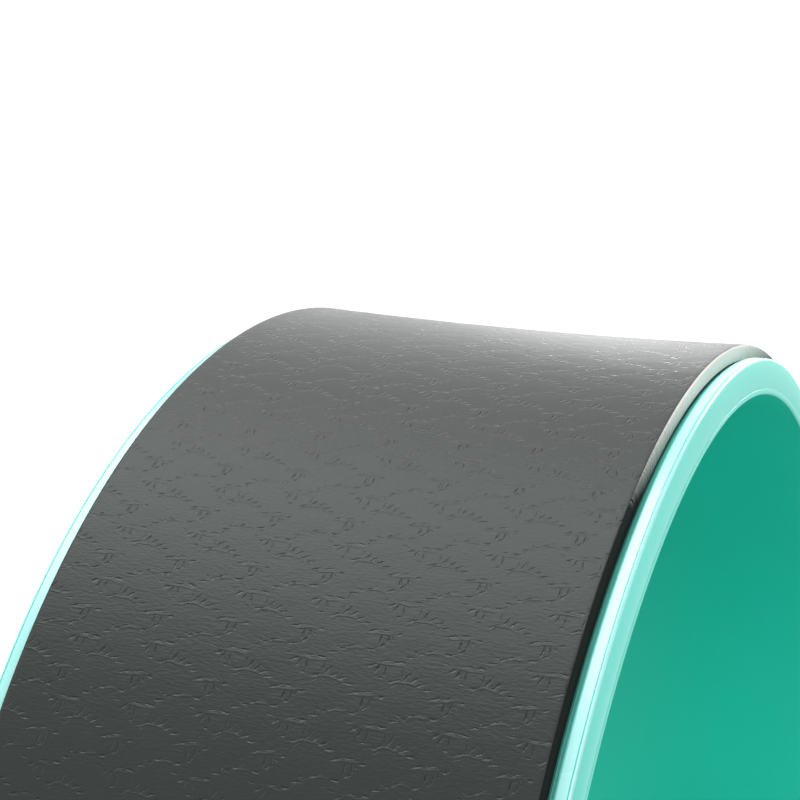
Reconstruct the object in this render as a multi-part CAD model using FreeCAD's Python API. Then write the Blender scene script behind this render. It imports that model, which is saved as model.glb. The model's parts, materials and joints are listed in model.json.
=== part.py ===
import FreeCAD
import Part
import math
import os

# Yoga wheel: a hollow-walled hoop with a moulded rim along each edge and a grip mat round it.
# The hoop's axis is +Y, +Z is up, and the origin is the hoop's centre. Millimetres and degrees.

# Wall of the hoop, from the bore outwards
bore_diameter = 305.6
liner_wall = 1.6
core_wall = 4.05
drum_wall = 1.75
tape_film = 0.45
mat_thickness = 3.75
fit_gap = 0.15

# Along the axis
mat_width = 119.0
mat_edge_gap = 0.3
rim_width = 5.2
liner_inset = 0.1

# Mat: raised edges with a shallow hollow between them, wrapped once and butted. Its foam gives at the foot
mat_hollow = 1.1
mat_foot_dent = 0.3
mat_edge_round = 0.8
mat_seam_gap = 0.3
mat_seam_angle = 35.0
round_limit_share = 0.9

# Rim: root beside the mat, flare up to the band, and the band's corner at the end face
rim_root_step = 0.2
rim_knee_width = 0.5
rim_knee_rise = 0.2
rim_flare_width = 1.1
rim_flare_rise = 1.2
rim_band_rise = 0.15
rim_knee_round = 0.5
rim_shoulder_round = 0.9
rim_outer_round = 1.6
rim_inner_round = 0.6

# Tongue of the rim, between liner and drum, with its snap bead
tongue_length = 7.3
tongue_tip_round = 0.5
bead_offset = 2.0
bead_width = 1.4
bead_slope = 0.8
bead_height = 0.45

# Liner
liner_end_round = 0.7

# Core: a lattice of ribs in strips, keyed end to end
core_strips = 4
core_windows_across = 4
core_windows_round = 9
core_rib = 4.0
core_key_length = 6.0
core_key_width = 12.0

cut_overrun = 2.0

# Radii of the layers
bore_radius = bore_diameter / 2
liner_outer = bore_radius + liner_wall
core_inner = liner_outer + fit_gap
core_outer = core_inner + core_wall
drum_inner = core_outer + fit_gap
drum_outer = drum_inner + drum_wall
tape_inner = drum_outer + fit_gap
tape_outer = tape_inner + tape_film
mat_inner = tape_outer + fit_gap
mat_outer = mat_inner + mat_thickness

# Places along the axis, counted from the middle of the hoop
mat_half = mat_width / 2
rim_start = mat_half + mat_edge_gap
wheel_half = rim_start + rim_width
drum_half = rim_start - fit_gap
liner_half = wheel_half - liner_inset
tongue_end = rim_start - tongue_length
core_half = tongue_end - fit_gap
core_middle = (core_inner + core_outer) / 2

axle_point = FreeCAD.Vector(0, 0, 0)
axle_line = FreeCAD.Vector(0, 1, 0)
full_turn = 360.0


def on_section(radius, along):
    # Point of a section through the hoop's wall
    return FreeCAD.Vector(radius, along, 0)


def rounded_outline(corners):
    # Closed wire through corners (radius, along, rounding), each rounding a tangent arc
    points = [on_section(radius, along) for radius, along, rounding in corners]
    starts, ends, arcs = [], [], []
    for place, (radius, along, rounding) in enumerate(corners):
        point = points[place]
        to_last = (points[place - 1] - point).normalize()
        to_next = (points[(place + 1) % len(points)] - point).normalize()
        half_angle = to_last.getAngle(to_next) / 2
        setback = rounding / math.tan(half_angle)
        starts.append(point + to_last * setback)
        ends.append(point + to_next * setback)
        inwards = (to_last + to_next).normalize()
        to_arc = rounding / math.sin(half_angle) - rounding
        arcs.append(point + inwards * to_arc)
    edges = []
    for place, (radius, along, rounding) in enumerate(corners):
        if rounding:
            edges.append(Part.Arc(starts[place], arcs[place], ends[place]).toShape())
        follower = (place + 1) % len(corners)
        edges.append(Part.LineSegment(ends[place], starts[follower]).toShape())
    return Part.Wire(edges)


def hoop(wire):
    return Part.Face(wire).revolve(axle_point, axle_line, full_turn)


def wrapped_strip(wire, outer_radius):
    # A strip round the hoop whose two ends leave the seam's gap between them
    gap_angle = math.degrees(mat_seam_gap / outer_radius)
    strip = Part.Face(wire).revolve(axle_point, axle_line, full_turn - gap_angle)
    strip.rotate(axle_point, axle_line, mat_seam_angle + gap_angle / 2)
    return strip


def inner_liner():
    rounding = min(liner_end_round, liner_wall / 2 * round_limit_share)
    corners = [
        (bore_radius, -liner_half, rounding),
        (liner_outer, -liner_half, rounding),
        (liner_outer, liner_half, rounding),
        (bore_radius, liner_half, rounding),
    ]
    return hoop(rounded_outline(corners))


def bead_outline(grow):
    # Snap bead on the tongue, or its groove in the drum, as (height, distance from the shoulder)
    crest_start = bead_offset + bead_slope
    crest_end = crest_start + bead_width
    return [
        (0, bead_offset - grow),
        (bead_height, crest_start - grow),
        (bead_height, crest_end + grow),
        (0, crest_end + bead_slope + grow),
    ]


def outer_drum():
    half_groove = [
        (drum_inner + height, rim_start - distance) for height, distance in reversed(bead_outline(fit_gap))
    ]
    corners = [(drum_outer, drum_half, 0), (drum_outer, -drum_half, 0), (drum_inner, -drum_half, 0)]
    corners += [(radius, -along, 0) for radius, along in reversed(half_groove)]
    corners += [(radius, along, 0) for radius, along in half_groove]
    corners += [(drum_inner, drum_half, 0)]
    return hoop(rounded_outline(corners))


def rim_ring(side):
    root = drum_outer + rim_root_step
    shoulder = root + rim_flare_rise
    corner = shoulder + rim_band_rise
    tip_round = min(tongue_tip_round, core_wall / 2 * round_limit_share)
    corners = [
        (core_inner, tongue_end, tip_round),
        (core_inner, wheel_half, rim_inner_round),
        (corner, wheel_half, rim_outer_round),
        (shoulder, rim_start + rim_flare_width, rim_shoulder_round),
        (root + rim_knee_rise, rim_start + rim_knee_width, rim_knee_round),
        (root, rim_start, 0),
        (core_outer, rim_start, 0),
    ]
    corners += [(core_outer + height, rim_start - distance, 0) for height, distance in bead_outline(0)]
    corners += [(core_outer, tongue_end, tip_round)]
    return hoop(rounded_outline([(radius, side * along, rounding) for radius, along, rounding in corners]))


def mat_tape():
    corners = [
        (tape_inner, -mat_half, 0),
        (tape_outer, -mat_half, 0),
        (tape_outer, mat_half, 0),
        (tape_inner, mat_half, 0),
    ]
    return wrapped_strip(rounded_outline(corners), tape_outer)


def floor_block():
    # The floor that the mat's foam gives way to, under the standing hoop
    reach = mat_outer + cut_overrun
    low_corner = FreeCAD.Vector(-reach, -reach, mat_foot_dent - mat_outer - reach)
    return Part.makeBox(2 * reach, 2 * reach, reach, low_corner)


def grip_mat():
    rounding = min(mat_edge_round, mat_thickness * round_limit_share)
    crest = mat_half - rounding
    side_top = mat_outer - rounding
    arc_reach = rounding * math.sin(math.radians(45))
    outline = [
        Part.LineSegment(on_section(mat_inner, -mat_half), on_section(side_top, -mat_half)),
        Part.Arc(
            on_section(side_top, -mat_half),
            on_section(side_top + arc_reach, -crest - arc_reach),
            on_section(mat_outer, -crest),
        ),
        Part.Arc(
            on_section(mat_outer, -crest),
            on_section(mat_outer - mat_hollow, 0),
            on_section(mat_outer, crest),
        ),
        Part.Arc(
            on_section(mat_outer, crest),
            on_section(side_top + arc_reach, crest + arc_reach),
            on_section(side_top, mat_half),
        ),
        Part.LineSegment(on_section(side_top, mat_half), on_section(mat_inner, mat_half)),
        Part.LineSegment(on_section(mat_inner, mat_half), on_section(mat_inner, -mat_half)),
    ]
    strip = wrapped_strip(Part.Wire([curve.toShape() for curve in outline]), mat_outer)
    return strip.cut(floor_block())


def core_sector(half_width, angle):
    # Stretch of the core's wall, from the start of a strip round to an angle
    corners = [
        (core_inner, -half_width, 0),
        (core_outer, -half_width, 0),
        (core_outer, half_width, 0),
        (core_inner, half_width, 0),
    ]
    return Part.Face(rounded_outline(corners)).revolve(axle_point, axle_line, angle)


def core_opening(round_length, across_width, angle, across):
    # Block that cuts through the core's wall at a place round the hoop and across it
    low_corner = FreeCAD.Vector(core_inner - cut_overrun, across - across_width / 2, -round_length / 2)
    block = Part.makeBox(core_wall + 2 * cut_overrun, across_width, round_length, low_corner)
    block.rotate(axle_point, axle_line, angle)
    return block


def core_strip():
    gap_angle = math.degrees(fit_gap / core_middle)
    strip_angle = full_turn / core_strips - gap_angle
    strip_length = math.radians(strip_angle) * core_middle
    end_rib = core_key_length + core_rib
    ribs_round = (core_windows_round - 1) * core_rib
    window_round = (strip_length - 2 * end_rib - ribs_round) / core_windows_round
    ribs_across = (core_windows_across + 1) * core_rib
    window_across = (2 * core_half - ribs_across) / core_windows_across

    key = core_sector(core_key_width / 2, math.degrees(core_key_length / core_middle))
    key.rotate(axle_point, axle_line, strip_angle)
    strip = core_sector(core_half, strip_angle).fuse(key).removeSplitter()

    # The next strip's key goes in at the start, and windows leave a lattice of ribs
    openings = [core_opening(2 * core_key_length, core_key_width + 2 * fit_gap, 0, 0)]
    for row in range(core_windows_round):
        place = end_rib + window_round / 2 + row * (window_round + core_rib)
        angle = math.degrees(place / core_middle)
        for column in range(core_windows_across):
            across = core_rib + window_across / 2 + column * (window_across + core_rib) - core_half
            openings.append(core_opening(window_round, window_across, angle, across))
    return strip.cut(openings)


def export(shape, node):
    shape.exportStep("parts/" + node + ".step")
    print(node, "solids", len(shape.Solids), "valid", shape.isValid(), "mm3", round(shape.Volume, 1))


os.makedirs("parts", exist_ok=True)
export(inner_liner(), "inner_liner")
export(outer_drum(), "outer_drum")
for number in range(core_strips):
    strip = core_strip()
    strip.rotate(axle_point, axle_line, number * full_turn / core_strips)
    export(strip, "core_strip_" + str(number + 1))
export(rim_ring(-1), "rim_ring_left")
export(rim_ring(1), "rim_ring_right")
export(mat_tape(), "mat_tape")
export(grip_mat(), "grip_mat")
print("wheel", 2 * mat_outer, "across,", 2 * wheel_half, "wide")
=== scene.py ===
import json
import math
import bmesh
import bpy
import numpy as np
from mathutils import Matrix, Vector


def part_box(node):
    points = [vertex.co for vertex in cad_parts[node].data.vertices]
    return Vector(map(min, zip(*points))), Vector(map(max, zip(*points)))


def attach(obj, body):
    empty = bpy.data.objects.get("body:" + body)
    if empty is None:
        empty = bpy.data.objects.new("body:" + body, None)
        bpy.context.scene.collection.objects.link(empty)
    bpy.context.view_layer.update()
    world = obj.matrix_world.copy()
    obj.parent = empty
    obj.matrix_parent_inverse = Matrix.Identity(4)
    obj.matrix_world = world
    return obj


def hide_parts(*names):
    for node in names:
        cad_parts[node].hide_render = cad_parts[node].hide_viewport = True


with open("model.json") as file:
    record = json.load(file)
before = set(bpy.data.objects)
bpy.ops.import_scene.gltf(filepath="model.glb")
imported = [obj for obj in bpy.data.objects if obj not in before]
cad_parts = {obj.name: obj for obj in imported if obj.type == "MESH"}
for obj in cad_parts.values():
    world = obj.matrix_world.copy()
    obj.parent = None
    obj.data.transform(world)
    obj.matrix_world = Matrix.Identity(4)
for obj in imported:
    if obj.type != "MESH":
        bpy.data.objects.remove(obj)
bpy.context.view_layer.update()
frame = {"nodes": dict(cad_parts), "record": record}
print("frame loaded:", len(frame["nodes"]), "CAD nodes")

mm = 0.001
perMetre = 1 / mm  # millimetres in a metre


# sizes that every piece shares, read from the frame
def mountRadius(name):
    mount = next(m for m in frame["record"]["mounts"] if m["name"] == name)
    return mount["dims"]["r_mm"] * mm


matLow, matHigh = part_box("grip_mat")
rimLow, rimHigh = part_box("rim_ring_right")
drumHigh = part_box("outer_drum")[1]
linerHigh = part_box("inner_liner")[1]
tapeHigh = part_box("mat_tape")[1]

wheel = {
    "bore": mountRadius("hoop_bore"),
    "linerOuter": linerHigh.z,
    "linerHalf": linerHigh.y,
    "drumOuter": drumHigh.z,
    "tapeOuter": tapeHigh.z,
    "matOuter": matHigh.z,
    "matHalf": matHigh.y,
    "rimEnd": rimHigh.y,
    "tongueEnd": rimLow.y,
    "floor": matLow.z,
}

mat = {
    "around": 1296,
    "topRows": 148,
    "sideRows": 6,
    "cornerRows": 4,
    "innerRows": 6,
    "cornerRound": 0.7 * mm,
    "cutShare": 0.6,  # how much of the rounded corner shows the cut foam
    "hollow": 1.1 * mm,
    "seamAngle": math.radians(35.0),
    "seamGap": 0.3 * mm,
    "tapeGap": 0.15 * mm,
    "edgeFade": 2.5,  # millimetres in which the pads die out at the mat's edges
    "mergeDistance": 1e-7,
}


# numbers of a material's nodes, so that the same sums run on a mesh's arrays and in its shader
class NodeNumber:
    def __init__(self, tree, socket):
        self.tree = tree
        self.socket = socket

    def node(self, operation, *others):
        made = self.tree.nodes.new("ShaderNodeMath")
        made.operation = operation
        for place, value in enumerate((self,) + others):
            if isinstance(value, NodeNumber):
                self.tree.links.new(value.socket, made.inputs[place])
            else:
                made.inputs[place].default_value = value
        return NodeNumber(self.tree, made.outputs[0])

    def __add__(self, other):
        return self.node("ADD", other)

    def __mul__(self, other):
        return self.node("MULTIPLY", other)

    def __sub__(self, other):
        return self.node("SUBTRACT", other)


def eitherWay(operation, onArray):
    def apply(value, *others):
        if isinstance(value, NodeNumber):
            return value.node(operation, *others)
        return onArray(value, *others)
    return apply


wholePart = eitherWay("FLOOR", np.floor)
larger = eitherWay("MAXIMUM", np.maximum)
smaller = eitherWay("MINIMUM", np.minimum)
angleOf = eitherWay("ARCTAN2", np.arctan2)
fused = eitherWay("MULTIPLY_ADD", lambda value, factor, extra: value * factor + extra)


# embossing of the mat in millimetres: one repeat of its folds, each a stroke given as
# (across, along, turn in degrees, half length, half width, height as a share of depth, bend)
emboss = {
    "stepAcross": (16.91, -1.30),
    "stepAlong": (0.40, 13.99),
    "start": (-36.4, 103.1),
    "cellStart": (0.0, 4.5),
    "neighbours": (-2, -1, 0, 1, 2),  # repeats whose strokes may reach into this one
    "depth": 0.095,
    "slim": 0.95,
    "stretch": 1.25,
    "strokes": [
        # pocket with pleats at its left, and the ridge and dashes above it
        (9.8, 6.05, 3, 1.2, 0.42, -1.0, 0.0), (7.1, 6.05, -4, 1.15, 0.30, -0.7, 0.0),
        (7.25, 8.2, 81, 1.25, 0.30, -0.8, 0.0), (11.0, 8.25, 90, 1.2, 0.28, -0.6, 0.0),
        (9.75, 10.3, -22, 1.45, 0.42, -1.0, 0.2), (5.55, 7.9, 110, 1.15, 0.42, -1.0, 0.0),
        (4.3, 7.3, 150, 0.95, 0.50, -1.0, 0.0), (6.8, 9.85, 0, 0.6, 0.32, -0.9, 0.0),
        (2.55, 6.2, 8, 1.0, 0.26, -0.6, 0.0), (8.0, 6.75, 2, 3.0, 0.38, 0.50, 0.0),
        # rope of pleats down to the right, and the crest of the scale under it
        (12.3, 8.7, 121, 1.25, 0.40, -1.0, 0.0), (14.0, 9.3, 138, 1.05, 0.42, -1.0, 0.0),
        (15.55, 10.05, 157, 1.25, 0.40, -1.0, 0.15), (17.1, 10.95, 173, 1.2, 0.36, -1.0, 0.0),
        (11.3, 5.3, -58, 0.6, 0.20, -0.5, 0.0), (9.9, 11.2, -36, 1.1, 0.22, -0.5, 0.0),
        (12.4, 10.15, 2, 5.2, 0.38, 0.50, -2.3),
        # second pocket, scalloped at its right
        (2.3, 13.9, -19, 1.3, 0.42, -1.0, 0.0), (4.95, 13.35, -8, 1.2, 0.27, -0.7, 0.0),
        (4.55, 15.6, 92, 1.35, 0.38, -1.0, 0.0), (3.05, 18.15, -12, 1.45, 0.42, -1.0, 0.55),
        (6.1, 15.2, 86, 1.1, 0.32, -0.9, 0.0), (5.5, 16.75, -38, 0.85, 0.42, -1.0, 0.1),
        (6.95, 15.0, 40, 0.6, 0.25, -0.6, 0.0), (8.1, 14.0, -8, 0.75, 0.42, -1.0, 0.0),
        (4.2, 14.15, -8, 3.6, 0.38, 0.50, 0.0),
        # rope of pleats down to the left, and the crest of the scale under it
        (15.5, 16.8, -25, 0.8, 0.42, -1.0, 0.0), (14.1, 17.5, -22, 0.9, 0.42, -1.0, 0.0),
        (12.9, 17.2, 25, 0.45, 0.27, -0.7, 0.0), (12.1, 18.5, -6, 1.15, 0.36, -1.0, 0.0),
        (16.9, 16.1, -40, 0.5, 0.20, -0.4, 0.0), (16.0, 2.9, -8, 5.4, 0.38, 0.50, -2.6),
    ],
    "pillows": [
        # pads of the two pockets, and the broad scales between the ropes
        (9.25, 8.5, 0, 1.75, 1.6, 0.5, 0.0), (2.75, 16.0, 0, 1.7, 1.8, 0.5, 0.0),
        (15.0, 6.0, -6, 5.6, 3.1, 0.3, 0.0), (11.3, 13.6, -6, 5.8, 3.1, 0.3, 0.0),
    ],
}


def flatPlace(x, y, z):
    # across the mat, and along its wrap from the wheel's top to the front, in millimetres;
    # the wrap breaks at the seam
    c, s = math.cos(mat["seamAngle"]), math.sin(mat["seamAngle"])
    around = angleOf(x * s + z * c, z * s + x * -c)
    fromTop = around + mat["seamAngle"] - math.pi / 2
    return y * -perMetre, fromTop * (-perMetre * wheel["matOuter"])


def cellShares(u, v):
    # place in the pattern's lattice, counted in repeats
    (ax, ay), (bx, by) = emboss["stepAcross"], emboss["stepAlong"]
    area = ax * by - ay * bx
    return fused(u, by / area, v * (-bx / area)), fused(u, -ay / area, v * (ax / area))


def cellPlace(u, v):
    # place inside one repeat
    (ax, ay), (bx, by) = emboss["stepAcross"], emboss["stepAlong"]
    x = u - (emboss["start"][0] + emboss["cellStart"][0])
    y = v - (emboss["start"][1] + emboss["cellStart"][1])
    across, along = (wholePart(share) for share in cellShares(x, y))
    x = fused(along, -bx, fused(across, -ax, x)) + emboss["cellStart"][0]
    y = fused(along, -by, fused(across, -ay, y)) + emboss["cellStart"][1]
    return x, y


def insideCell(strokes):
    # every copy of a stroke that reaches into one repeat
    (ax, ay), (bx, by) = emboss["stepAcross"], emboss["stepAlong"]
    startX, startY = emboss["cellStart"]
    copies = []
    for across, along, turn, length, width, height, bend in strokes:
        c, s = math.cos(math.radians(turn)), math.sin(math.radians(turn))
        length, width = length * emboss["stretch"], width * emboss["slim"]
        reach = width + abs(bend)
        reachX = math.hypot(length * c, reach * s)
        reachY = math.hypot(length * s, reach * c)
        for i in emboss["neighbours"]:
            for j in emboss["neighbours"]:
                x, y = across + i * ax + j * bx, along + i * ay + j * by
                ends = [cellShares(x + dx - startX, y + dy - startY)
                        for dx in (-reachX, reachX) for dy in (-reachY, reachY)]
                low, high = np.min(ends, axis=0), np.max(ends, axis=0)
                if (high > 0).all() and (low < 1).all():
                    copies.append((x, y, c, s, length, width, height, bend))
    return copies


def reliefOf(strokes, u, v):
    # height of the strokes at a place on the flat mat, in millimetres
    x, y = cellPlace(u, v)
    total = 0.0
    for across, along, c, s, length, width, height, bend in insideCell(strokes):
        lengthwise = fused(x, c / length, fused(y, s / length, -(across * c + along * s) / length))
        sideways = fused(x, -s / width, fused(y, c / width, (across * s - along * c) / width))
        square = lengthwise * lengthwise
        if bend:
            sideways = fused(square, bend / width, sideways)
        share = fused(sideways, sideways, square)
        hump = larger(fused(share, -1.0, 1.0), 0.0)
        total = fused(hump * hump, height * emboss["depth"], total)
    return total


print("emboss ready")


# materials
def newMaterial(name, colour, roughness, specular):
    material = bpy.data.materials.new(name)
    material.use_nodes = True
    tree = material.node_tree
    shader = tree.nodes["Principled BSDF"]
    shader.inputs["Base Color"].default_value = colour + (1.0,)
    shader.inputs["Roughness"].default_value = roughness
    shader.inputs["Specular IOR Level"].default_value = specular
    return material, tree, shader


def objectPlace(tree):
    return tree.nodes.new("ShaderNodeTexCoord").outputs["Object"]


def splitPlace(tree, place):
    parts = tree.nodes.new("ShaderNodeSeparateXYZ")
    tree.links.new(place, parts.inputs["Vector"])
    return [NodeNumber(tree, parts.outputs[axis]) for axis in "XYZ"]


def joinedPlace(tree, *numbers):
    joined = tree.nodes.new("ShaderNodeCombineXYZ")
    for axis, number in zip("XYZ", numbers):
        tree.links.new(number.socket, joined.inputs[axis])
    return joined.outputs["Vector"]


def noiseOn(tree, place, scale, detail, stretch=(1.0, 1.0, 1.0)):
    mapping = tree.nodes.new("ShaderNodeMapping")
    mapping.inputs["Scale"].default_value = stretch
    noise = tree.nodes.new("ShaderNodeTexNoise")
    noise.inputs["Scale"].default_value = scale
    noise.inputs["Detail"].default_value = detail
    tree.links.new(place, mapping.inputs["Vector"])
    tree.links.new(mapping.outputs["Vector"], noise.inputs["Vector"])
    return noise.outputs["Fac"]


def ramp(tree, value, stops):
    # from the first stop's colour to the second's
    made = tree.nodes.new("ShaderNodeValToRGB")
    for element, (place, colour) in zip(made.color_ramp.elements, stops):
        element.position = place
        element.color = colour + (1.0,)
    tree.links.new(value, made.inputs["Fac"])
    return made.outputs["Color"]


def bumpOf(tree, shader, height, distance, strength):
    bump = tree.nodes.new("ShaderNodeBump")
    bump.inputs["Distance"].default_value = distance
    bump.inputs["Strength"].default_value = strength
    tree.links.new(height, bump.inputs["Height"])
    tree.links.new(bump.outputs["Normal"], shader.inputs["Normal"])


def shade(colour, factor):
    return tuple(min(1.0, channel * factor) for channel in colour)


plastic = {
    # colour, roughness, specular
    # the rim's band and end face are one teal plastic: the band's paler teal is painted light, the
    # end face's darker teal painted shade
    "rimTeal": ((0.41, 0.88, 0.84), 0.26, 0.8),
    "rimFaceTeal": ((0.20, 0.81, 0.70), 0.4, 0.15),
    # the liner is the same plastic: its darker teal is painted shade in the bore
    "linerTeal": ((0.0140, 0.56, 0.415), 0.35, 0.35),
    "drumTeal": ((0.05, 0.45, 0.35), 0.55, 0.4),
    "coreGrey": ((0.62, 0.66, 0.64), 0.6, 0.4),
    "tapeFilm": ((0.02, 0.021, 0.02), 0.65, 0.4),
}

# finish of the plastic that shows; each stop is a place in the noise and what it does there
glossy = {
    "cloudScale": 18.0,
    "cloudDetail": 1.0,
    "cloudStops": ((0.3, 0.96), (0.7, 1.03)),
    "smearScale": 40.0,
    "smearDetail": 1.0,
    "smearStops": ((0.25, -0.02), (0.75, 0.02)),
}

# finish of the hidden pieces
dull = {
    "cloudScale": 30.0,
    "cloudDetail": 4.0,
    "cloudStops": ((0.3, 0.93), (0.7, 1.05)),
    "grainScale": 700.0,
    "grainDetail": 3.0,
    "grainHeight": 0.05 * mm,
    "grainStrength": 0.5,
}


def cloudedPlastic(name, finish):
    colour, roughness, specular = plastic[name]
    material, tree, shader = newMaterial(name, colour, roughness, specular)
    place = objectPlace(tree)
    cloud = noiseOn(tree, place, finish["cloudScale"], finish["cloudDetail"])
    stops = [(stop, shade(colour, factor)) for stop, factor in finish["cloudStops"]]
    tree.links.new(ramp(tree, cloud, stops), shader.inputs["Base Color"])
    return material, tree, shader, place


def tealPlastic(name):
    colour, roughness, specular = plastic[name]
    material, tree, shader, place = cloudedPlastic(name, glossy)
    smear = noiseOn(tree, place, glossy["smearScale"], glossy["smearDetail"])
    stops = [(stop, (roughness + change,) * 3) for stop, change in glossy["smearStops"]]
    tree.links.new(ramp(tree, smear, stops), shader.inputs["Roughness"])
    return material


def dullPlastic(name):
    material, tree, shader, place = cloudedPlastic(name, dull)
    grain = noiseOn(tree, place, dull["grainScale"], dull["grainDetail"])
    bumpOf(tree, shader, grain, dull["grainHeight"], dull["grainStrength"])
    return material


foam = {
    "skin": (0.013, 0.016, 0.0145),
    "brightest": 2.0,  # times the skin's colour
    "cloudScale": 0.07,
    "cloudDetail": 4.0,
    "cloudTone": (0.3, 0.85),  # share of the clouds, and the tone without them
    "roughness": 0.42,
    "specular": 0.27,
    "specularTint": (0.92, 1.0, 0.97),
    "sheen": 0.06,
    "sheenRoughness": 0.18,
    "grooveShade": 6.0,  # how fast painted shade darkens strokes with depth
    "strokeGloss": 2.3,  # how fast they grow smooth with depth
    "strokeRoughness": 0.2,  # and how smooth at most
    "wander": 1.0,  # millimetres by which strokes sway
    "wanderScale": 0.55,
    "wanderDetail": 2.0,
    "wrinkle": 0.085,  # millimetres high
    "wrinkleScale": 1.2,
    "wrinkleDetail": 3.0,
    "wrinkleStretch": (0.5, 1.4, 1.0),
    "grain": 0.02,  # millimetres high
    "grainScale": 3.0,
    "grainDetail": 3.0,
}


def matSkin():
    material, tree, shader = newMaterial(
        "matSkin", foam["skin"], foam["roughness"], foam["specular"])
    shader.inputs["Specular Tint"].default_value = foam["specularTint"] + (1.0,)
    shader.inputs["Sheen Weight"].default_value = foam["sheen"]
    shader.inputs["Sheen Roughness"].default_value = foam["sheenRoughness"]
    u, v = flatPlace(*splitPlace(tree, objectPlace(tree)))
    flat = joinedPlace(tree, u, v)

    # strokes, with a little sway so that no two repeats are alike
    drift = tree.nodes.new("ShaderNodeTexNoise")
    drift.inputs["Scale"].default_value = foam["wanderScale"]
    drift.inputs["Detail"].default_value = foam["wanderDetail"]
    tree.links.new(flat, drift.inputs["Vector"])
    sway = tree.nodes.new("ShaderNodeSeparateColor")
    tree.links.new(drift.outputs["Color"], sway.inputs["Color"])
    swayU = fused(NodeNumber(tree, sway.outputs["Red"]), foam["wander"], u)
    swayV = fused(NodeNumber(tree, sway.outputs["Green"]), foam["wander"], v)
    relief = reliefOf(emboss["strokes"], swayU, swayV)

    # fine wrinkles and grain between them
    wrinkle = noiseOn(
        tree, flat, foam["wrinkleScale"], foam["wrinkleDetail"], foam["wrinkleStretch"])
    grain = noiseOn(tree, flat, foam["grainScale"], foam["grainDetail"])
    fine = fused(NodeNumber(tree, grain), foam["grain"], relief)
    total = fused(NodeNumber(tree, wrinkle), foam["wrinkle"], fine)
    bumpOf(tree, shader, total.socket, mm, 1.0)

    # sunk strokes are smoother than the skin, and darkened with painted shade
    sunk = smaller(relief, 0.0)
    gloss = larger(fused(sunk, foam["strokeGloss"], foam["roughness"]), foam["strokeRoughness"])
    tree.links.new(gloss.socket, shader.inputs["Roughness"])
    cloud = NodeNumber(tree, noiseOn(tree, flat, foam["cloudScale"], foam["cloudDetail"]))
    # painted shade in the sunk strokes, darker where they are deeper
    tone = fused(cloud, *foam["cloudTone"]) + sunk * foam["grooveShade"]
    level = larger(tone * (1 / foam["brightest"]), 0.0)
    stops = [(0.0, (0.0, 0.0, 0.0)), (1.0, shade(foam["skin"], foam["brightest"]))]
    tree.links.new(ramp(tree, level.socket, stops), shader.inputs["Base Color"])
    return material


# the foam's cut edge, with painted light and shade: pale along the wheel's top, where light falls,
# and dark down its sides, where the rim shades it
cutFoam = {
    "pale": (0.74, 0.75, 0.71),
    "paintedShade": (0.010, 0.012, 0.011),
    "paintedShadeHeights": (0.149, 0.162),  # metres above the axle where the painted shade turns pale
    "roughness": 0.8,
    "specular": 0.1,
    "hatchScale": 1.3,
    "hatchDetail": 2.0,
    "hatchShare": 0.85,
    "cellScale": 1400.0,
    "cellDetail": 3.0,
    "cellShare": 0.15,
    "noiseMiddle": 0.5,
    "bumpHeight": 0.3 * mm,
    "bumpStrength": 0.8,
}


def matCut():
    material, tree, shader = newMaterial(
        "matCut", cutFoam["pale"], cutFoam["roughness"], cutFoam["specular"])
    place = objectPlace(tree)
    x, y, z = splitPlace(tree, place)
    along = joinedPlace(tree, flatPlace(x, y, z)[1])
    hatch = NodeNumber(tree, noiseOn(tree, along, cutFoam["hatchScale"], cutFoam["hatchDetail"]))
    cells = NodeNumber(tree, noiseOn(tree, place, cutFoam["cellScale"], cutFoam["cellDetail"]))
    both = fused(hatch, cutFoam["hatchShare"], cells * cutFoam["cellShare"])
    low, high = cutFoam["paintedShadeHeights"]
    # painted shade by height: dark low down the wheel, pale at its top
    height = fused(z, 1 / (high - low), -low / (high - low) - cutFoam["noiseMiddle"])
    stops = [(0.0, cutFoam["paintedShade"]), (1.0, cutFoam["pale"])]
    tree.links.new(ramp(tree, (height + both).socket, stops), shader.inputs["Base Color"])
    bumpOf(tree, shader, both.socket, cutFoam["bumpHeight"], cutFoam["bumpStrength"])
    return material


rimTeal = tealPlastic("rimTeal")
rimFaceTeal = tealPlastic("rimFaceTeal")
linerTeal = tealPlastic("linerTeal")
drumTeal = dullPlastic("drumTeal")
coreGrey = dullPlastic("coreGrey")
tapeFilm = dullPlastic("tapeFilm")
print("materials ready")


# pieces
sharpAngle = math.radians(30)
arcSegments = 6


def finishPiece(bm, name, materials, slot, *nodes):
    mesh = bpy.data.meshes.new(name)
    bm.to_mesh(mesh)
    bm.free()
    piece = bpy.data.objects.new(name, mesh)
    bpy.context.scene.collection.objects.link(piece)
    for material in materials:
        mesh.materials.append(material)
    mesh.shade_smooth()
    mesh.set_sharp_from_angle(angle=sharpAngle)
    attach(piece, "root")
    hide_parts(*nodes)
    print(name, "built:", len(mesh.polygons), "faces")
    return piece


def spunRing(corners, steps):
    # a closed section of (radius, along, rounding) corners, turned once round the wheel's axis
    bm = bmesh.new()
    verts = [bm.verts.new((radius, along, 0.0)) for radius, along, rounding in corners]
    for place, vert in enumerate(verts):
        bm.edges.new((vert, verts[(place + 1) % len(verts)]))
    for vert, (radius, along, rounding) in zip(verts, corners):
        if rounding:
            arms = [edge.other_vert(vert).co - vert.co for edge in vert.link_edges]
            setback = rounding / math.tan(arms[0].angle(arms[1]) / 2)
            bmesh.ops.bevel(bm, geom=[vert], offset=setback, offset_type="OFFSET",
                            affect="VERTICES", segments=arcSegments, profile=0.5, material=-1)
    bmesh.ops.spin(bm, geom=bm.verts[:] + bm.edges[:], cent=(0, 0, 0), axis=(0, 1, 0),
                   angle=2 * math.pi, steps=steps, use_merge=True)
    bmesh.ops.recalc_face_normals(bm, faces=bm.faces[:])
    return bm


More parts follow.
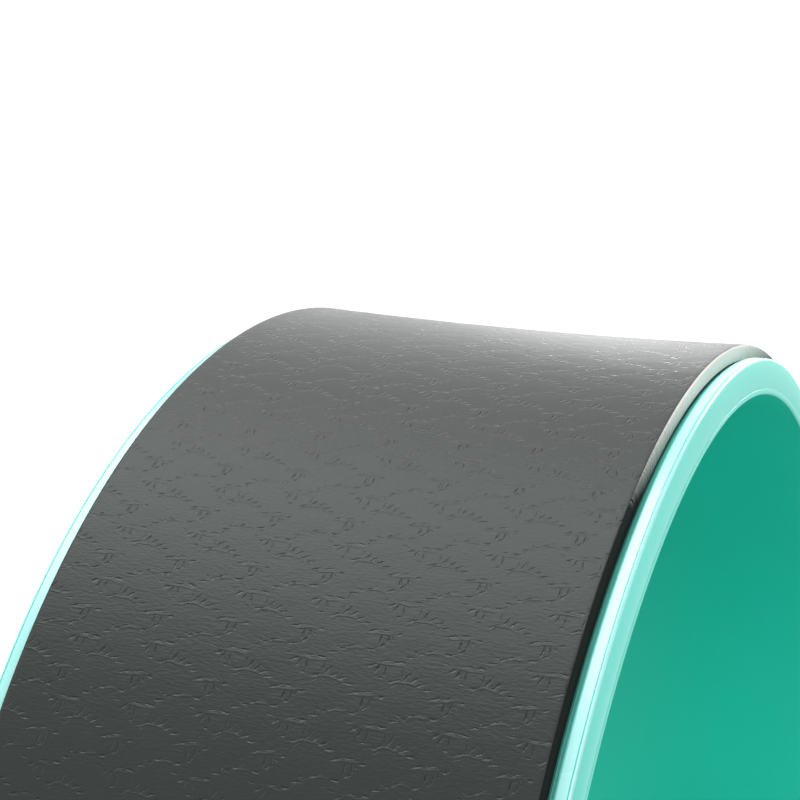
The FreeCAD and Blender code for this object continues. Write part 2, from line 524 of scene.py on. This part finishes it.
rim = {
    "steps": 576,
    "linerGap": 0.02 * mm,
    "tongueThick": 4.05 * mm,
    "tongueRound": 0.5 * mm,
    "matGap": 0.3 * mm,
    "rootStep": 0.2 * mm,
    "kneeRise": 0.2 * mm,
    "kneeWidth": 0.5 * mm,
    "kneeRound": 0.4 * mm,
    "flareRise": 1.2 * mm,
    "flareWidth": 1.1 * mm,
    "shoulderRound": 0.9 * mm,
    "bandRise": 0.15 * mm,
    "partingInset": 1.5 * mm,
    "partingWidth": 0.14 * mm,
    "partingDepth": 0.35 * mm,
    "edgeInset": 0.95 * mm,
    "edgeRound": 0.8 * mm,
    "crownPlace": 0.42,  # share of the end face's height
    "crownRise": 0.6 * mm,
    "crownRound": 11.0 * mm,
    "lipInset": 0.32 * mm,
    "lipRound": 0.06 * mm,
    "faceTilt": 0.93,  # faces past these tilts, along the axis, take the end face's material: a less glossy finish, with a darker teal that is painted shade
    "flareTilt": 0.25,
}


def buildRim(name, side, node):
    start = wheel["matHalf"] + rim["matGap"]
    root = wheel["drumOuter"] + rim["rootStep"]
    shoulder = root + rim["flareRise"]
    inner = wheel["linerOuter"] + rim["linerGap"]
    outer = inner + rim["tongueThick"]
    end = wheel["rimEnd"]
    corner = shoulder + rim["bandRise"]
    bandStart = start + rim["flareWidth"]
    parting = end - rim["partingInset"]
    slope = rim["bandRise"] / (end - bandStart)
    partingRadius = shoulder + slope * (parting - bandStart)
    width = rim["partingWidth"]
    crown = inner + rim["crownPlace"] * (corner - inner)
    corners = [
        (inner, wheel["tongueEnd"], rim["tongueRound"]),
        (inner, end - rim["lipInset"], rim["lipRound"]),
        (crown, end + rim["crownRise"], rim["crownRound"]),
        (corner, end - rim["edgeInset"], rim["edgeRound"]),
        (partingRadius + slope * width, parting + width, 0),
        (partingRadius - rim["partingDepth"], parting, 0),
        (partingRadius - slope * width, parting - width, 0),
        (shoulder, bandStart, rim["shoulderRound"]),
        (root + rim["kneeRise"], start + rim["kneeWidth"], rim["kneeRound"]),
        (root, start, 0),
        (outer, start, 0),
        (outer, wheel["tongueEnd"], rim["tongueRound"]),
    ]
    corners = [(radius, side * along, rounding) for radius, along, rounding in corners]
    bm = spunRing(corners, rim["steps"])
    # the end face and flare take the darker, less glossy teal, as painted shade; the band keeps
    # the paler teal, as painted light
    for face in bm.faces:
        tilt = face.normal.y * side
        face.material_index = 1 if tilt > rim["faceTilt"] or tilt < -rim["flareTilt"] else 0
    finishPiece(bm, name, [rimTeal, rimFaceTeal], "rim_plastic", node)


liner = {
    "steps": 288,
    "endRound": 0.7 * mm,
    "outerRound": 0.3 * mm,
    "endBand": 0.5 * mm,  # width at each end that takes the rim face's paler teal, painted light on the ends, while the bore's darker teal is painted shade
}


def buildLiner():
    half = wheel["linerHalf"]
    corners = [
        (wheel["bore"], -half, liner["endRound"]),
        (wheel["linerOuter"], -half, liner["outerRound"]),
        (wheel["linerOuter"], half, liner["outerRound"]),
        (wheel["bore"], half, liner["endRound"]),
    ]
    bm = spunRing(corners, liner["steps"])
    limit = half - liner["endBand"]
    # the ends take the paler teal and the bore the darker: painted light and shade of one plastic
    for face in bm.faces:
        face.material_index = 1 if abs(face.calc_center_median().y) > limit else 0
    finishPiece(bm, "innerLiner", [linerTeal, rimFaceTeal], "liner_plastic", "inner_liner")


def matSection():
    # section of the mat as (radius, along) rows, from one inner edge over the top to the other
    # and back
    half, outer = wheel["matHalf"], wheel["matOuter"]
    inner = wheel["tapeOuter"] + mat["tapeGap"]
    rounding = mat["cornerRound"]
    sides = np.linspace(inner, outer - rounding, mat["sideRows"], endpoint=False)
    turn = np.linspace(0, math.pi / 2, mat["cornerRows"], endpoint=False)
    top = np.linspace(-(half - rounding), half - rounding, mat["topRows"])
    under = np.linspace(half, -half, mat["innerRows"])
    hollow = mat["hollow"] * (1 - (top / (half - rounding)) ** 2)
    left = [(radius, -half) for radius in sides]
    left += [(outer - rounding * (1 - math.sin(a)), -half + rounding * (1 - math.cos(a)))
             for a in turn]
    right = [(radius, -along) for radius, along in reversed(left)]
    middle = list(zip(outer - hollow, top))
    return np.array(left + middle + right[:-1] + [(inner, along) for along in under])


def buildMat():
    # a flat grid is bent into the mat: its x goes round the wheel and its y over the section
    section = matSection()
    rowSteps = len(section) - 1
    gridHalf = 0.5
    bm = bmesh.new()
    bmesh.ops.create_grid(bm, x_segments=mat["around"], y_segments=rowSteps, size=gridHalf)
    mesh = bpy.data.meshes.new("gripMat")
    bm.to_mesh(mesh)
    places = np.empty(len(bm.verts) * 3)
    mesh.vertices.foreach_get("co", places)
    places = places.reshape(-1, 3)
    rows = np.rint((places[:, 1] + gridHalf) * rowSteps).astype(int)
    gap = mat["seamGap"] / wheel["matOuter"]
    angles = mat["seamAngle"] + gap / 2 + (places[:, 0] + gridHalf) * (2 * math.pi - gap)
    radius, along = section[rows].T
    x, z = np.cos(angles), -np.sin(angles)

    # raised pads on the top, and the dent where the mat stands on the floor
    u, v = flatPlace(x, along, z)
    onTop = radius > wheel["matOuter"] - mat["hollow"] - mat["cornerRound"]
    fade = np.clip((wheel["matHalf"] / mm - np.abs(u)) / mat["edgeFade"], 0, 1) * onTop
    radius = radius + reliefOf(emboss["pillows"], u, v) * fade * mm
    places = np.stack([x * radius, along, np.maximum(z * radius, wheel["floor"])], axis=1)
    mesh.vertices.foreach_set("co", places.ravel())
    bm.clear()
    bm.from_mesh(mesh)
    bpy.data.meshes.remove(mesh)

    # closed at the seam's two ends
    bmesh.ops.remove_doubles(bm, verts=bm.verts[:], dist=mat["mergeDistance"])
    ends = [edge for edge in bm.edges if edge.is_boundary]
    bmesh.ops.holes_fill(bm, edges=ends)
    bmesh.ops.recalc_face_normals(bm, faces=bm.faces[:])
    limit = wheel["matHalf"] - mat["cornerRound"] * mat["cutShare"]
    for face in bm.faces:
        face.material_index = 1 if abs(face.calc_center_median().y) > limit else 0
    piece = finishPiece(bm, "gripMat", [matSkin(), matCut()], "mat_foam", "grip_mat")


buildRim("rimRingLeft", -1, "rim_ring_left")
buildRim("rimRingRight", 1, "rim_ring_right")
buildLiner()
buildMat()

for node, material in (("outer_drum", drumTeal), ("mat_tape", tapeFilm)):
    frame["nodes"][node].data.materials[0] = material
for node in frame["nodes"]:
    if node.startswith("core_strip"):
        frame["nodes"][node].data.materials[0] = coreGrey
print("CAD nodes dressed")


# stage
studio = {
    "ambientLow": 0.12,
    "ambientHigh": 0.22,
    "brightest": (0.55, -0.1, 0.83),
    "backdrop": (1.0, 1.0, 1.0),
    "floorColour": (0.42, 0.42, 0.42),
    "floorRoughness": 0.9,
    "floorSpecular": 0.1,
    "floorGlow": 0.64,
    "floorSize": 30.0,
    "floorGap": 0.2 * mm,
    "suns": [
        # name, from where, width in degrees, level
        ("overhead", (0.13, 0.37, 0.92), 46, 0.79),
        ("back", (0.89, 0.36, 0.32), 40, 0.145),
        ("glint", (0.95, 0.27, 0.09), 7, 0.03),
        ("near", (0.93, -0.30, 0.20), 12, 0.40),
        ("side", (-0.35, -0.75, 0.55), 40, 0.40),
        ("front", (-0.88, -0.05, 0.47), 40, 0.23),
        ("far", (-0.30, 0.85, 0.40), 50, 0.20),
    ],
}


def seenRay(tree):
    # 1 for what the camera sees, straight on, in a gloss or through glass
    path = tree.nodes.new("ShaderNodeLightPath")
    seen = NodeNumber(tree, path.outputs["Is Camera Ray"])
    for kind in ("Is Glossy Ray", "Is Transmission Ray"):
        seen = larger(seen, NodeNumber(tree, path.outputs[kind]))
    return seen


def buildFloor():
    bm = bmesh.new()
    bmesh.ops.create_grid(bm, x_segments=1, y_segments=1, size=studio["floorSize"])
    level = wheel["floor"] - studio["floorGap"]
    bmesh.ops.translate(bm, verts=bm.verts[:], vec=(0, 0, level))
    mesh = bpy.data.meshes.new("floor")
    bm.to_mesh(mesh)
    bm.free()
    floor = bpy.data.objects.new("floor", mesh)
    bpy.context.scene.collection.objects.link(floor)
    material, tree, shader = newMaterial(
        "floorWhite", studio["floorColour"], studio["floorRoughness"], studio["floorSpecular"])
    glow = tree.nodes.new("ShaderNodeEmission")
    tree.links.new((seenRay(tree) * studio["floorGlow"]).socket, glow.inputs["Strength"])
    both = tree.nodes.new("ShaderNodeAddShader")
    tree.links.new(shader.outputs["BSDF"], both.inputs[0])
    tree.links.new(glow.outputs["Emission"], both.inputs[1])
    tree.links.new(both.outputs["Shader"], tree.nodes["Material Output"].inputs["Surface"])
    mesh.materials.append(material)


def buildWorld():
    world = bpy.data.worlds.new("studio")
    bpy.context.scene.world = world
    world.use_nodes = True
    tree = world.node_tree
    background = tree.nodes["Background"]
    background.inputs["Color"].default_value = studio["backdrop"] + (1.0,)
    facing = tree.nodes.new("ShaderNodeVectorMath")
    facing.operation = "DOT_PRODUCT"
    direction = tree.nodes.new("ShaderNodeTexCoord").outputs["Generated"]
    tree.links.new(direction, facing.inputs[0])
    facing.inputs[1].default_value = Vector(studio["brightest"]).normalized()
    low, high = studio["ambientLow"], studio["ambientHigh"]
    ambient = fused(NodeNumber(tree, facing.outputs["Value"]), (high - low) / 2, (high + low) / 2)
    tree.links.new(larger(ambient, seenRay(tree)).socket, background.inputs["Strength"])


def softSun(name, source, width, level):
    # level 1 lights a facing surface so that its colour renders as written
    lamp = bpy.data.lights.new(name, "SUN")
    lamp.angle = math.radians(width)
    lamp.energy = level * math.pi
    holder = bpy.data.objects.new(name, lamp)
    bpy.context.scene.collection.objects.link(holder)
    holder.rotation_euler = Vector(source).to_track_quat("Z", "Y").to_euler()


view = {
    "place": (-0.43306, -0.16164, 0.26934),
    "look": (0.89112, 0.3774, -0.25196),
    "sensor": 36.0,
    "lens": 85.57,
    "clipStart": 0.01,
}


def buildCamera():
    lens = bpy.data.cameras.new("camera")
    lens.sensor_width = view["sensor"]
    lens.lens = view["lens"]
    lens.clip_start = view["clipStart"]
    camera = bpy.data.objects.new("camera", lens)
    bpy.context.scene.collection.objects.link(camera)
    camera.location = view["place"]
    camera.rotation_euler = Vector(view["look"]).to_track_quat("-Z", "Y").to_euler()
    bpy.context.scene.camera = camera


buildFloor()
buildWorld()
for settings in studio["suns"]:
    softSun(*settings)
buildCamera()
bpy.context.scene.view_settings.view_transform = "Standard"
print("stage ready")
